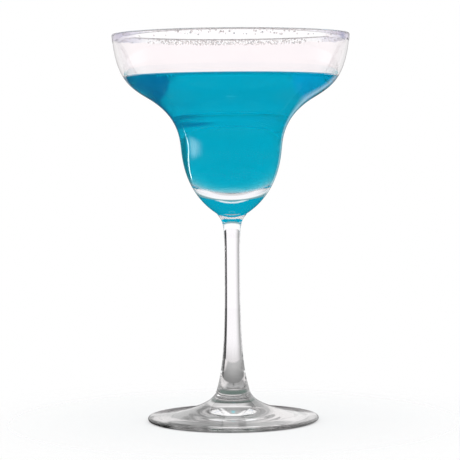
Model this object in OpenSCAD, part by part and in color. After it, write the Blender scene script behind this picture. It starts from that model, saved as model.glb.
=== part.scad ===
// Margarita glass, served: a wide cup over a narrow well, on a drawn stem and a round foot,
// with a blue drink in the bowl and a salted rim.
// The axis of the glass is Z and the foot stands on z = 0. Every glass piece is turned from a
// profile of [radius, height] points. Lengths are in millimetres, slopes and leans in degrees.

/* [Foot] */
// Diameter of the foot
foot_d = 82.6; // [70:0.2:95]
// Thickness of the foot at its rounded edge
foot_edge_h = 2; // [1.4:0.1:3.4]
// Height of the joint between foot and stem
foot_joint_h = 13; // [10:0.5:18]
// Diameter of the joint between foot and stem
foot_joint_d = 16.8; // [13:0.2:22]
// Width of the flat ring that the foot rests on
foot_rest_w = 4; // [2:0.5:8]
// Rise of the hollow under the foot
foot_hollow_h = 3; // [1:0.1:4]
// Slope of the foot's cone where it leaves the joint
foot_flare_slope = 60; // [45:1:75]
// Slope of the foot's top at its edge
foot_edge_slope = 6; // [2:0.5:10]

/* [Stem] */
// Length of the stem between its two joints
stem_h = 87; // [60:0.5:110]
// Diameter of the stem at its thinnest
stem_d = 7.4; // [6:0.1:10]
// Lean of the stem's lower end off upright
stem_base_lean = 17.8; // [8:0.2:26]
// Lean of the stem's upper end off upright
stem_top_lean = 31; // [15:0.5:38]

/* [Bowl] */
// Diameter of the joint between stem and bowl
bowl_joint_d = 14.4; // [11:0.1:17]
// Height of the bowl from that joint to the rim
bowl_h = 86.4; // [80:0.2:96]
// Outer diameter of the rim
rim_d = 114; // [104:0.5:124]
// Outer diameter of the well at its upright wall
well_d = 48.5; // [42:0.5:54]
// Height of the well's upright wall above the joint
well_h = 31; // [26:0.5:36]
// Outer diameter of the shoulder, where the cup's floor is flattest
shoulder_d = 78.2; // [70:0.2:86]
// Height of the shoulder above the joint
shoulder_h = 55.2; // [50:0.2:60]
// Slope of the bowl where it leaves the joint
belly_slope = 33; // [20:1:45]
// Lean of the well's wall off upright
well_lean = 6.3; // [0:0.1:12]
// Slope of the cup's floor at the shoulder
shoulder_slope = 31.6; // [24:0.2:40]
// Lean of the rim off upright
rim_lean = 4.5; // [0:0.1:10]
// Wall thickness at the rim
rim_wall = 1.3; // [0.9:0.1:2]
// Wall thickness at the shoulder
shoulder_wall = 1.6; // [1.2:0.1:2.4]
// Wall thickness of the well
well_wall = 2; // [1.4:0.1:3]
// Height of the well's floor above the joint
floor_h = 11.2; // [6:0.1:14]

/* [Drink] */
// How full the cup is, as a share of its depth from shoulder to rim
fill_share = 0.34; // [0.2:0.01:0.7]
// Clearance between drink and bowl, so that the drink can turn
drink_gap = 0.2; // [0.1:0.05:0.5]
// Height that the drink's edge climbs the wall
meniscus_h = 1.2; // [0.6:0.1:1.8]
// Width of that curved edge
meniscus_w = 1.6; // [0.8:0.1:2.4]
// Diameter of the largest bubble at the surface
bubble_d = 1.5; // [1:0.1:2]
// Direction of the first bubble, seen from above
bubble_direction = 228; // [0:1:360]

/* [Salted rim] */
// Depth of the juice film down the outside of the rim
film_out_h = 3.2; // [2.4:0.1:5]
// Depth of the juice film down the inside of the rim
film_in_h = 3.8; // [2.4:0.1:5]
// Thickness of the juice film
film_t = 0.2; // [0.1:0.05:0.4]
// Edge length of the largest salt grain
grain_edge = 0.9; // [0.5:0.1:1]
// Distance from grain to grain round the rim
grain_pitch = 2.6; // [2.2:0.1:5]

/* [Hidden] */

// Smoothness of the turned profiles
curve_steps = 20;
lip_steps = 10;
turn_fn = 96;

// How far each curve follows its two end directions, as shares of the distance between its ends
foot_reach_shares = [0.2, 0.5];
stem_base_reach_shares = [0.2, 0.58];
stem_top_reach_shares = [0.88, 0.23];
belly_reach_shares = [0.5, 0.16];
waist_reach_shares = [0.19, 0.57];
cup_reach_shares = [0.28, 0.62];
floor_reach_shares = [0.42, 0.38];
// Heights of the two ends of the stem's straight middle, as shares of its length
stem_waist_shares = [0.68, 0.77];

// Bubbles: their sizes and the gaps between neighbours, as shares of the largest one,
// how deep their middles lie, as a share of their radius, and the gaps that they keep to the
// drink round them and to its wall
bubble_size_shares = [0.75, 0.6, 1, 0.85, 0.5];
bubble_gap_shares = [0.5, 1.6, 0.3, 1.2];
bubble_sink_share = 0.6;
bubble_gap = 0.05;
bubble_wall_gap = 0.3;

// Salt: rows in each band, the grains' proportions, and how much of the pitch and of the size
// is left to chance
salt_rows = 2;
grain_side_shares = [0.8, 1, 0.9];
grain_small_share = 0.6;
grain_shift_share = 0.1;
grain_skip_share = 0.35;
grain_gap = 0.03;
grain_tilt_max = 24;
outside_seed = 17;
inside_seed = 42;

// Heights of the joints, the rim and the drink's surface
bowl_joint_z = foot_joint_h + stem_h;
rim_z = bowl_joint_z + bowl_h;
shoulder_z = bowl_joint_z + shoulder_h;
floor_z = bowl_joint_z + floor_h;
drink_z = shoulder_z + fill_share * (rim_z - shoulder_z);

// Curves

// Unit vector at an angle above level, pointing outward
function heading(a) = [cos(a), sin(a)];

// Cubic curve that leaves p at heading a and arrives at q at heading b
function span(p, a, q, b, reach_shares) =
    let (chord = norm(q - p))
    [p, p + chord * reach_shares[0] * heading(a), q - chord * reach_shares[1] * heading(b), q];

// Point of a cubic curve at t, and the direction it runs in there
function span_point(s, t) =
    let (u = 1 - t)
    u * u * u * s[0] + 3 * u * u * t * s[1] + 3 * u * t * t * s[2] + t * t * t * s[3];
function span_direction(s, t) =
    let (u = 1 - t, d = u * u * (s[1] - s[0]) + 2 * u * t * (s[2] - s[1]) + t * t * (s[3] - s[2]))
    d / norm(d);

// Points of a curve, moved to its right by a distance that goes evenly from first to last
function curve(s, first = 0, last = 0) =
    [for (i = [0 : curve_steps])
        let (t = i / curve_steps, d = span_direction(s, t))
        span_point(s, t) + [d.y, -d.x] * (first + (last - first) * t)];

// List handling for the profiles
function tail(points) = [for (i = [1 : len(points) - 1]) points[i]];
function reversed(points) = [for (i = [len(points) - 1 : -1 : 0]) points[i]];
function total(values, count) = count == 0 ? 0 : values[count - 1] + total(values, count - 1);

// Radius of a rising profile at a height, and the part of the profile above or below a height
function radius_at(points, z) = lookup(z, [for (p = points) [p.y, p.x]]);
function above(points, z) = concat([[radius_at(points, z), z]], [for (p = points) if (p.y > z) p]);
function below(points, z) = concat([for (p = points) if (p.y < z) p], [[radius_at(points, z), z]]);

module turned(points) {
    rotate_extrude($fn = turn_fn) polygon(points);
}

// Profile of the bowl

bowl_joint_p = [bowl_joint_d / 2, bowl_joint_z];
well_p = [well_d / 2, bowl_joint_z + well_h];
shoulder_p = [shoulder_d / 2, shoulder_z];
rim_p = [rim_d / 2, rim_z - rim_wall / 2 * (1 + sin(rim_lean))];
well_inner_p = well_p - well_wall * heading(-well_lean);

belly = span(bowl_joint_p, belly_slope, well_p, 90 - well_lean, belly_reach_shares);
waist = span(well_p, 90 - well_lean, shoulder_p, shoulder_slope, waist_reach_shares);
cup = span(shoulder_p, shoulder_slope, rim_p, 90 - rim_lean, cup_reach_shares);
well_floor = span([0, floor_z], 0, well_inner_p, 90 - well_lean, floor_reach_shares);

// Outside of the bowl from the joint to the rim, moved outward by grow
function outer_wall(grow) =
    concat(curve(belly, grow, grow), tail(curve(waist, grow, grow)), tail(curve(cup, grow, grow)));

// Inside of the bowl from the axis to the rim, moved inward by gap
function inner_wall(gap) =
    concat(
        curve(well_floor, -gap, -gap),
        tail(curve(waist, -well_wall - gap, -shoulder_wall - gap)),
        tail(curve(cup, -shoulder_wall - gap, -rim_wall - gap))
    );

// Round lip over the rim, from the outside to the inside, moved off the glass by grow
function lip(grow) =
    let (centre = rim_p - rim_wall / 2 * heading(-rim_lean))
    [for (i = [1 : lip_steps - 1])
        centre + (rim_wall / 2 + grow) * heading(180 * i / lip_steps - rim_lean)];

// Glass pieces

// Disc with a round edge, a low cone up to the joint and a shallow hollow beneath
module foot() {
    edge_r = foot_edge_h / 2;
    edge_p = [foot_d / 2 - edge_r, foot_edge_h];
    hollow_r = edge_p.x - foot_rest_w;
    top = curve(span([foot_joint_d / 2, foot_joint_h], -foot_flare_slope, edge_p, -foot_edge_slope,
                     foot_reach_shares));
    edge = [for (i = [1 : lip_steps]) [edge_p.x, edge_r] + edge_r * heading(90 - 180 * i / lip_steps)];
    hollow = [for (i = [curve_steps : -1 : 0])
        let (share = i / curve_steps)
        [hollow_r * share, foot_hollow_h * (1 - share * share)]];
    color([0.86, 0.9, 0.91, 0.4]) turned(concat([[0, foot_joint_h]], top, edge, hollow));
}

// Solid stem, drawn thin in the middle and flared to both joints
module stem() {
    waist_z = [for (share = stem_waist_shares) foot_joint_h + share * stem_h];
    base = curve(span([foot_joint_d / 2, foot_joint_h], 90 + stem_base_lean,
                      [stem_d / 2, waist_z[0]], 90, stem_base_reach_shares));
    top = curve(span([stem_d / 2, waist_z[1]], 90, bowl_joint_p, 90 - stem_top_lean,
                     stem_top_reach_shares));
    color([0.86, 0.9, 0.91, 0.4])
        turned(concat([[0, foot_joint_h]], base, top, [[0, bowl_joint_z]]));
}

// Blown bowl: thick floor, narrow well, wide cup and a round lip
module bowl() {
    color([0.86, 0.9, 0.91, 0.4])
        turned(concat([[0, bowl_joint_z]], outer_wall(0), lip(0), reversed(inner_wall(0))));
}

// Drink

// Radius of the drink's wall at its surface, and of the flat part of the surface
drink_wall = inner_wall(drink_gap);
drink_r = radius_at(drink_wall, drink_z);
surface_r = drink_r - meniscus_w;

// Centre and radius of each bubble, side by side in the curved edge of the surface, where each
// one lies along the wall
bubble_r = [for (share = bubble_size_shares) share * bubble_d / 2];
function bubble_reach(i) =
    total([for (k = [1 : i]) bubble_r[k - 1] + bubble_gap_shares[k - 1] * bubble_d + bubble_r[k]], i);
function bubble_place(i) =
    let (
        z = drink_z - bubble_sink_share * bubble_r[i],
        ring_r = radius_at(inner_wall(drink_gap + bubble_wall_gap + bubble_r[i]), z),
        turn = bubble_direction + bubble_reach(i) / surface_r * 180 / PI
    )
    [ring_r * cos(turn), ring_r * sin(turn), z];

module bubble_set(grow) {
    for (i = [0 : len(bubble_r) - 1])
        translate(bubble_place(i)) sphere(bubble_r[i] + grow, $fn = 24);
}

// Liquid that fills the bowl to its surface, climbs a little at the wall and is dented by bubbles
module drink() {
    contact_z = drink_z + meniscus_h;
    corner = [drink_r, drink_z];
    contact = [radius_at(drink_wall, contact_z), contact_z];
    edge = [for (i = [1 : lip_steps])
        let (t = i / lip_steps)
        (1 - t) * (1 - t) * contact + 2 * t * (1 - t) * corner + t * t * [surface_r, drink_z]];
    color([0, 0.63, 0.75, 0.85]) difference() {
        turned(concat(below(drink_wall, contact_z), edge, [[0, drink_z]]));
        bubble_set(bubble_gap);
    }
}

// Small bubbles that float at the edge of the surface
module bubbles() {
    color([0.6, 0.93, 0.97, 0.6]) bubble_set(0);
}

// Salted rim

// Film of juice that wets the lip and both sides of the rim and holds the salt
module juice_film() {
    out_z = rim_z - film_out_h;
    in_z = rim_z - film_in_h;
    glass_side = concat(above(outer_wall(0), out_z), lip(0), reversed(above(inner_wall(0), in_z)));
    air_side = concat(above(outer_wall(film_t), out_z), lip(film_t), reversed(above(inner_wall(film_t), in_z)));
    color([0.93, 0.92, 0.95, 0.5]) turned(concat(glass_side, reversed(air_side)));
}

// One grain with its middle at the origin, tilted and then spun about X, and its reach along X
module grain(edge, tilt, spin) {
    rotate([spin, 0, 0]) rotate([0, 0, tilt]) cube(edge * grain_side_shares, center = true);
}
function grain_reach(edge, tilt) =
    edge * (grain_side_shares[0] * cos(tilt) + grain_side_shares[1] * sin(tilt)) / 2;

// Rows of grains that sit on the film down to a depth; side is 1 outside the rim and -1 inside it
module salt_band(side, wall, depth, seed) {
    for (row = [0 : salt_rows - 1]) {
        row_z = rim_z - depth * (row + 1) / (salt_rows + 1);
        row_r = radius_at(wall, row_z);
        count = floor(2 * PI * row_r / grain_pitch);
        shift = rands(-grain_shift_share, grain_shift_share, count, seed + row);
        size = rands(grain_small_share, 1, count, seed + row + salt_rows);
        tilt = rands(0, grain_tilt_max, count, seed + row + 2 * salt_rows);
        spin = rands(0, 360, count, seed + row + 3 * salt_rows);
        chance = rands(0, 1, count, seed + row + 4 * salt_rows);
        for (i = [0 : count - 1])
            if (chance[i] >= grain_skip_share * row)
                let (edge = grain_edge * size[i], seat = grain_reach(edge, tilt[i]) + grain_gap)
                rotate([0, 0, 360 * (i + row / salt_rows + shift[i]) / count])
                translate([row_r, 0, row_z])
                rotate([0, rim_lean, 0])
                translate([side * seat, 0, 0])
                grain(edge, tilt[i], spin[i]);
    }
}

// Salt crystals on the outside of the rim
module salt_outside() {
    color([0.96, 0.96, 0.98]) salt_band(1, outer_wall(film_t), film_out_h, outside_seed);
}

// Salt crystals on the inside of the rim
module salt_inside() {
    color([0.96, 0.96, 0.98]) salt_band(-1, inner_wall(film_t), film_in_h, inside_seed);
}

foot();
stem();
bowl();
drink();
bubbles();
juice_film();
salt_outside();
salt_inside();
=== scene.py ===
import math
import random

import bmesh
import bpy
from mathutils import Matrix, Vector, noise


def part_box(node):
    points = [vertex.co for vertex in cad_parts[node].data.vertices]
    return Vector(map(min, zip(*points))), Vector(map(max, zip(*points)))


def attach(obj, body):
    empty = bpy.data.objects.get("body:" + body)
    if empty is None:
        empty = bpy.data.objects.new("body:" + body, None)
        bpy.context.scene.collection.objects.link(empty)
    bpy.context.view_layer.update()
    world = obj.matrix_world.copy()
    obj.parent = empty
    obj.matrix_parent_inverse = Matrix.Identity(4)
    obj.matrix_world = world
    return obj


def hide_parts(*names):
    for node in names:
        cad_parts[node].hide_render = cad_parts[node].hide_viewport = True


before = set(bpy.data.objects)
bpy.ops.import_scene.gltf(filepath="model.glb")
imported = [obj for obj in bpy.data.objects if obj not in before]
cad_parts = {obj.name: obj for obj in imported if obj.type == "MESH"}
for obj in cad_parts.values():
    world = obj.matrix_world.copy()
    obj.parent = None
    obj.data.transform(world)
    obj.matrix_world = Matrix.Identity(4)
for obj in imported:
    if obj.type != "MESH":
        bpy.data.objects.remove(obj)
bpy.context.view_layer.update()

# Units: metres. Profiles are lists of (radius, height) points about the Z axis. A slope or a lean is
# in degrees, and a reach gives the two handles of a curve as shares of its chord.
MM = 0.001

# Sizes that the frame gives
_, foot_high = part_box("foot")
bowl_low, bowl_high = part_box("bowl")
_, drink_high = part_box("drink")
FOOT_R = foot_high.x
FOOT_JOINT_Z = foot_high.z
BOWL_JOINT_Z = bowl_low.z
RIM_Z = bowl_high.z
RIM_R = 57 * MM

# Shape of the foot
FOOT_EDGE_H = 2 * MM
FOOT_JOINT_R = 8.4 * MM
FOOT_REST_W = 4 * MM
FOOT_HOLLOW_H = 3 * MM
FOOT_FLARE_SLOPE = 60
FOOT_EDGE_SLOPE = 6
FOOT_REACH = (0.2, 0.5)

# Shape of the stem
STEM_R = 3.7 * MM
STEM_WAIST_SHARES = (0.68, 0.77)
STEM_BASE_LEAN = 17.8
STEM_TOP_LEAN = 31
STEM_BASE_REACH = (0.2, 0.58)
STEM_TOP_REACH = (0.88, 0.23)

# Shape of the bowl
BOWL_JOINT_R = 7.2 * MM
WELL_R = 24.25 * MM
WELL_H = 31 * MM
SHOULDER_R = 39.1 * MM
SHOULDER_H = 55.2 * MM
BELLY_SLOPE = 33
WELL_LEAN = 6.3
SHOULDER_SLOPE = 31.6
RIM_LEAN = 4.5
RIM_WALL = 1.3 * MM
SHOULDER_WALL = 1.6 * MM
WELL_WALL = 2 * MM
FLOOR_H = 11.2 * MM
BELLY_REACH = (0.5, 0.16)
WAIST_REACH = (0.19, 0.57)
CUP_REACH = (0.28, 0.62)
FLOOR_REACH = (0.42, 0.38)

# Drink: height of its surface and the curved edge that climbs the wall
MENISCUS_H = 1.2 * MM
MENISCUS_W = 1.6 * MM
DRINK_Z = drink_high.z - MENISCUS_H
DRINK_SEAT = 0.02 * MM

# Gap that keeps the seams of the fused pieces from lying on each other
SEAM_GAP = 0.02 * MM

# Smoothness of the turned pieces, and the distance at which two points count as one
CURVE_STEPS = 40
LIP_STEPS = 16
TURN_STEPS = 256
CREASE_ANGLE = math.radians(24)
SAME_POINT = 1e-7

# Refraction of each boundary: air to glass, air to drink, drink to glass, and faces that bend nothing
GLASS_IOR = 1.52
DRINK_IOR = 1.345
WET_IOR = GLASS_IOR / DRINK_IOR
JOINED_IOR = 1.0


# Profile curves

def heading(degrees):
    """Unit vector at an angle above level, pointing outward."""
    return Vector((math.cos(math.radians(degrees)), math.sin(math.radians(degrees))))


def span(start, start_angle, end, end_angle, reach):
    """Cubic curve between two points that leaves and arrives at the given headings."""
    start, end = Vector(start), Vector(end)
    chord = (end - start).length
    return (
        start,
        start + heading(start_angle) * chord * reach[0],
        end - heading(end_angle) * chord * reach[1],
        end,
    )


def curve(s, first=0.0, last=0.0):
    """Points of a curve, moved to its right by a distance that goes evenly from first to last."""
    points = []
    for i in range(CURVE_STEPS + 1):
        t = i / CURVE_STEPS
        u = 1 - t
        place = u**3 * s[0] + 3 * u * u * t * s[1] + 3 * u * t * t * s[2] + t**3 * s[3]
        run = u * u * (s[1] - s[0]) + 2 * u * t * (s[2] - s[1]) + t * t * (s[3] - s[2])
        run.normalize()
        points.append(place + Vector((run.y, -run.x)) * (first + (last - first) * t))
    return points


def radius_at(points, z):
    """Radius of a rising profile at a height."""
    for low, high in zip(points, points[1:]):
        if low.y <= z <= high.y:
            return low.x + (high.x - low.x) * (z - low.y) / (high.y - low.y)
    return points[-1].x


def below(points, z):
    """Part of a rising profile under a height."""
    return [p for p in points if p.y < z] + [Vector((radius_at(points, z), z))]


def above(points, z):
    """Part of a rising profile over a height."""
    return [Vector((radius_at(points, z), z))] + [p for p in points if p.y > z]


bowl_joint = Vector((BOWL_JOINT_R, BOWL_JOINT_Z))
well_point = Vector((WELL_R, BOWL_JOINT_Z + WELL_H))
shoulder_point = Vector((SHOULDER_R, BOWL_JOINT_Z + SHOULDER_H))
rim_point = Vector((RIM_R, RIM_Z - RIM_WALL / 2 * (1 + math.sin(math.radians(RIM_LEAN)))))
floor_point = Vector((0, BOWL_JOINT_Z + FLOOR_H))
well_inner_point = well_point - heading(-WELL_LEAN) * WELL_WALL

belly = span(bowl_joint, BELLY_SLOPE, well_point, 90 - WELL_LEAN, BELLY_REACH)
waist = span(well_point, 90 - WELL_LEAN, shoulder_point, SHOULDER_SLOPE, WAIST_REACH)
cup = span(shoulder_point, SHOULDER_SLOPE, rim_point, 90 - RIM_LEAN, CUP_REACH)
well_floor = span(floor_point, 0, well_inner_point, 90 - WELL_LEAN, FLOOR_REACH)


def outer_wall(grow):
    """Outside of the bowl from the joint to the rim, moved outward."""
    return (
        curve(belly, grow, grow)
        + curve(waist, grow, grow)[1:]
        + curve(cup, grow, grow)[1:]
    )


def inner_wall(gap):
    """Inside of the bowl from the axis to the rim, moved inward."""
    return (
        curve(well_floor, -gap, -gap)
        + curve(waist, -WELL_WALL - gap, -SHOULDER_WALL - gap)[1:]
        + curve(cup, -SHOULDER_WALL - gap, -RIM_WALL - gap)[1:]
    )


def lip(grow):
    """Round lip over the rim, from the outside to the inside."""
    centre = rim_point - heading(-RIM_LEAN) * RIM_WALL / 2
    reach = RIM_WALL / 2 + grow
    return [
        centre + heading(180 * i / LIP_STEPS - RIM_LEAN) * reach
        for i in range(LIP_STEPS + 1)
    ]


# Mesh helpers

def finish_piece(name, mesh, materials, body, nodes):
    """Wraps a mesh in an object that rides on a body and stands for the given nodes."""
    for material in materials:
        mesh.materials.append(material)
    piece = bpy.data.objects.new(name, mesh)
    bpy.context.scene.collection.objects.link(piece)
    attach(piece, body)
    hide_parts(*nodes)
    return piece


def turned(name, runs):
    """Closed mesh turned from a loop of runs, each a list of points with a material index."""
    points, indices = [], []
    for run, index in runs:
        for p in run:
            if points and (p - points[-1]).length < SAME_POINT:
                continue
            if points:
                indices.append(index)
            points.append(p)
    verts, rings = [], []
    for p in points:
        if p.x < SAME_POINT:
            rings.append([len(verts)] * TURN_STEPS)
            verts.append((0, 0, p.y))
            continue
        rings.append(list(range(len(verts), len(verts) + TURN_STEPS)))
        for k in range(TURN_STEPS):
            a = 2 * math.pi * k / TURN_STEPS
            verts.append((p.x * math.cos(a), p.x * math.sin(a), p.y))
    faces, slots = [], []
    for low, high, index in zip(rings, rings[1:], indices):
        for k in range(TURN_STEPS):
            n = (k + 1) % TURN_STEPS
            corners = [low[k], low[n], high[n], high[k]]
            corners = [c for i, c in enumerate(corners) if c != corners[i - 1]]
            if len(corners) > 2:
                faces.append(corners)
                slots.append(index)
    mesh = bpy.data.meshes.new(name)
    mesh.from_pydata(verts, [], faces)
    mesh.polygons.foreach_set("material_index", slots)
    mesh.polygons.foreach_set("use_smooth", [True] * len(faces))
    mesh.set_sharp_from_angle(angle=CREASE_ANGLE)
    mesh.update()
    return mesh


# Materials

NOISE_DETAIL = 3.0
DRIFT_ROUGHNESS = 0.6
DRIFT_RANGE = (0.3, 0.7)


class Graph:
    """Short ways to add nodes to a material or a world."""

    def __init__(self, owner):
        owner.use_nodes = True
        self.nodes = owner.node_tree.nodes
        self.links = owner.node_tree.links

    def put(self, socket, value):
        """Sets a socket to a number or a colour, or links an output to it."""
        if isinstance(value, bpy.types.NodeSocket):
            self.links.new(value, socket)
        else:
            socket.default_value = value

    def add(self, kind, inputs=None, **settings):
        """New node with the given inputs and settings."""
        node = self.nodes.new(kind)
        for key, value in settings.items():
            setattr(node, key, value)
        for key, value in (inputs or {}).items():
            self.put(node.inputs[key], value)
        return node

    def math(self, operation, *values):
        """Result of one sum on numbers."""
        node = self.add("ShaderNodeMath", operation=operation)
        for socket, value in zip(node.inputs, values):
            self.put(socket, value)
        return node.outputs[0]

    # The mix node has its factor at socket 0, its numbers at 2 and 3, and its colours at 6 and 7

    def mix(self, factor, a, b):
        """Number between a and b."""
        node = self.add("ShaderNodeMix", data_type="FLOAT")
        for index, value in zip((0, 2, 3), (factor, a, b)):
            self.put(node.inputs[index], value)
        return node.outputs[0]

    def tint(self, factor, a, b):
        """Colour between a and b."""
        node = self.add("ShaderNodeMix", data_type="RGBA")
        for index, value in zip((0, 6, 7), (factor, a, b)):
            self.put(node.inputs[index], value)
        return node.outputs[2]

    def product(self, first, *rest):
        """All the numbers multiplied."""
        for value in rest:
            first = self.math("MULTIPLY", first, value)
        return first

    def largest(self, first, *rest):
        """Largest of the numbers."""
        for value in rest:
            first = self.math("MAXIMUM", first, value)
        return first

    def over(self, value, limit):
        """One where the value is over the limit, and zero elsewhere."""
        return self.math("GREATER_THAN", value, limit)

    def under(self, value, limit):
        """One where the value is under the limit, and zero elsewhere."""
        return self.math("LESS_THAN", value, limit)

    def smooth(self, value, low, high, start=0.0, end=1.0):
        """Eases from start to end while the value goes from low to high."""
        inputs = {"Value": value, "From Min": low, "From Max": high, "To Min": start, "To Max": end}
        node = self.add("ShaderNodeMapRange", inputs, interpolation_type="SMOOTHSTEP")
        return node.outputs["Result"]

    def fall(self, value, low, high):
        """Eases from one to zero while the value goes from low to high."""
        return self.smooth(value, low, high, 1.0, 0.0)

    def window(self, value, low, high, soft):
        """One between low and high, zero outside, with soft edges."""
        rise = self.smooth(value, low - soft, low + soft)
        return self.product(rise, self.fall(value, high - soft, high + soft))

    def place(self):
        """Coordinates of the piece, in metres."""
        return self.add("ShaderNodeTexCoord").outputs["Object"]

    def axes(self, place):
        """The three numbers of a place or a direction."""
        return self.add("ShaderNodeSeparateXYZ", {0: place}).outputs

    def distance(self, place):
        """How far a place is from the origin."""
        return self.add("ShaderNodeVectorMath", {0: place}, operation="LENGTH").outputs["Value"]

    def azimuth(self, x, y):
        """Degrees to the right of straight behind the glass."""
        return self.math("DEGREES", self.math("ARCTAN2", x, y))

    def rays(self):
        """What is known of the look that meets the surface."""
        return self.add("ShaderNodeLightPath").outputs

    def mottle(self, scale, roughness=0.5):
        """Noise over the piece, at a scale in swings per metre."""
        inputs = {"Vector": self.place(), "Scale": scale, "Detail": NOISE_DETAIL, "Roughness": roughness}
        return self.add("ShaderNodeTexNoise", inputs).outputs["Fac"]

    def drift(self, scale):
        """Noise that reaches zero in places and one in others."""
        return self.smooth(self.mottle(scale, DRIFT_ROUGHNESS), *DRIFT_RANGE)


def principled(name, **values):
    """Material with a Principled shader and the given constants."""
    material = bpy.data.materials.new(name)
    graph = Graph(material)
    shader = graph.nodes["Principled BSDF"]
    for socket, value in values.items():
        shader.inputs[socket.replace("_", " ")].default_value = value
    return material, graph, shader


def see_through(name, ior):
    """Principled material that is smooth and transmits all light."""
    return principled(name, Transmission_Weight=1.0, Roughness=0.0, IOR=ior)


def glass_material(name, ior, pale, deep, scale):
    """Clear material whose tint drifts between two colours, at a scale in swings per metre."""
    material, graph, shader = see_through(name, ior)
    graph.put(shader.inputs["Base Color"], graph.tint(graph.drift(scale), pale, deep))
    return material


WHITE = (1, 1, 1, 1)
GLASS_DRIFT = 60
CLEAR_PALE = (1, 0.995, 0.995, 1)
CLEAR_DEEP = (0.985, 0.983, 0.985, 1)
WET_DEEP = (0.99, 0.995, 0.995, 1)
JOINED_DEEP = (0.99, 0.99, 0.99, 1)
# The lip's grey tint is painted shade: it draws the dark outline that the round lip shows
LIP_DRIFT = 140
LIP_OUTLINE_PALE = (0.54, 0.52, 0.52, 1)
LIP_OUTLINE_DEEP = (0.38, 0.36, 0.36, 1)

clear = glass_material("polished_glass", GLASS_IOR, CLEAR_PALE, CLEAR_DEEP, GLASS_DRIFT)
wet = glass_material("wet_glass", WET_IOR, WHITE, WET_DEEP, GLASS_DRIFT)
joined = glass_material("joined_glass", JOINED_IOR, WHITE, JOINED_DEEP, GLASS_DRIFT)
lip_painted_outline = glass_material("lip_painted_dark_outline", GLASS_IOR, LIP_OUTLINE_PALE, LIP_OUTLINE_DEEP, LIP_DRIFT)

# Edge of the foot, with painted dark reflections

# Its drift fades toward the right and the back. A fade is two places and the shares there.
# A stretch is two azimuths and the width of its soft ends. The pale stretch has no drift.
EDGE_DRIFT = 70
EDGE_PALE = (0.75, 0.75, 0.75, 1)
EDGE_REFLECTED_DARK = (0.1, 0.11, 0.11, 1)
EDGE_REFLECTED_BLACK = (0.02, 0.02, 0.02, 1)
EDGE_RIGHT = (0, 20 * MM, 1.0, 0.55)
EDGE_BACK = (-15 * MM, 10 * MM, 1.0, 0.3)
PALE_STRETCH = (-160, -137, 2)
REFLECTED_BLACK_STRETCH = (-134, -100, 4)


def painted_edge_material():
    """Thick edge glass with painted dark reflections: it drifts from pale to deep, nearly black in one
    stretch.
    """
    material, graph, shader = see_through("foot_edge_painted_reflections", GLASS_IOR)
    x, y, _ = graph.axes(graph.place())
    azimuth = graph.azimuth(x, y)
    even = graph.math("SUBTRACT", 1.0, graph.window(azimuth, *PALE_STRETCH))
    # Painted dark reflections that drift over the edge and fade toward the right and the back
    drift = graph.product(graph.drift(EDGE_DRIFT), graph.smooth(x, *EDGE_RIGHT), graph.smooth(y, *EDGE_BACK))
    colour = graph.tint(graph.product(drift, even), EDGE_PALE, EDGE_REFLECTED_DARK)
    # Painted reflection of the dark room: a nearly black stretch at the left front of the edge
    colour = graph.tint(graph.window(azimuth, *REFLECTED_BLACK_STRETCH), colour, EDGE_REFLECTED_BLACK)
    graph.put(shader.inputs["Base Color"], colour)
    return material


edge_painted_reflections = painted_edge_material()

# Glossy bounces over which a look counts as bounced inside the glass
BOUNCED = 0.5

# Dye: full colour, colour of a look into the surface, and the ways over which red and the rest fade
DRINK_COLOUR = (0.0003, 0.352, 0.514, 1)
SURFACE_COLOUR = (0.25, 0.75, 0.85, 1)
RED_FADE = 8.75 * MM
RED_POWER = 1.5
RED_STRENGTH = 2.0
DYE_FADE = 7.5 * MM
# Crossings of clear and wet faces that a look into the drink takes, after which it is dyed through
DYED_CROSSINGS = 5.5
# Ways shorter than any through the drink, for a look that just enters it, and longer than any,
# for a look at its bare outside
ENTRY_WAY = 0.12 * MM
BARE_LOOK = 0.3


def drink_material(name, ior, surface=False):
    """Blue drink whose dye grows with the way through it, up to a full colour."""
    material, graph, shader = see_through(name, ior)
    rays = graph.rays()
    way = rays["Ray Length"]
    # A face tints a look by the root of its base colour, so the full colour is squared
    full = tuple(value * value for value in DRINK_COLOUR)
    steep = graph.math("POWER", graph.math("DIVIDE", way, RED_FADE), RED_POWER)
    red = graph.math("EXPONENT", graph.math("MULTIPLY", steep, -RED_STRENGTH))
    pale = graph.math("EXPONENT", graph.math("DIVIDE", way, -DYE_FADE))
    channels = [graph.mix(share, deep, 1.0) for share, deep in zip((red, pale, pale), full)]
    colour = graph.add("ShaderNodeCombineColor", dict(enumerate(channels))).outputs[0]
    inside = graph.product(graph.over(rays["Glossy Depth"], BOUNCED), graph.over(way, ENTRY_WAY))
    colour = graph.tint(inside, colour, full)
    colour = graph.tint(graph.over(way, BARE_LOOK), colour, DRINK_COLOUR)
    if surface:
        leaving = graph.add("ShaderNodeNewGeometry").outputs["Backfacing"]
        colour = graph.tint(leaving, SURFACE_COLOUR, full)
    dyed = graph.over(rays["Transmission Depth"], DYED_CROSSINGS)
    graph.put(shader.inputs["Base Color"], graph.tint(dyed, colour, WHITE))
    return material


drink_top = drink_material("drink_surface", DRINK_IOR, surface=True)
drink_side = drink_material("drink_side", JOINED_IOR)

BUBBLE_IOR = 1.33
BUBBLE_BLUE = (0.94, 0.99, 1, 1)
BUBBLE_DRIFT = 900
bubble_film = glass_material("bubble_film", BUBBLE_IOR, WHITE, BUBBLE_BLUE, BUBBLE_DRIFT)

JUICE_IOR = 1.34
JUICE_CLEAR = (0.985, 0.98, 0.985, 1)
JUICE_REFLECTED_LILAC = (0.84, 0.82, 0.88, 1)
JUICE_STREAKS = 160
JUICE_RAGGED = 0.16 * RIM_R
JUICE_REFLECTION_SIDES = (0.8 * RIM_R, 1.05 * RIM_R)


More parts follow.
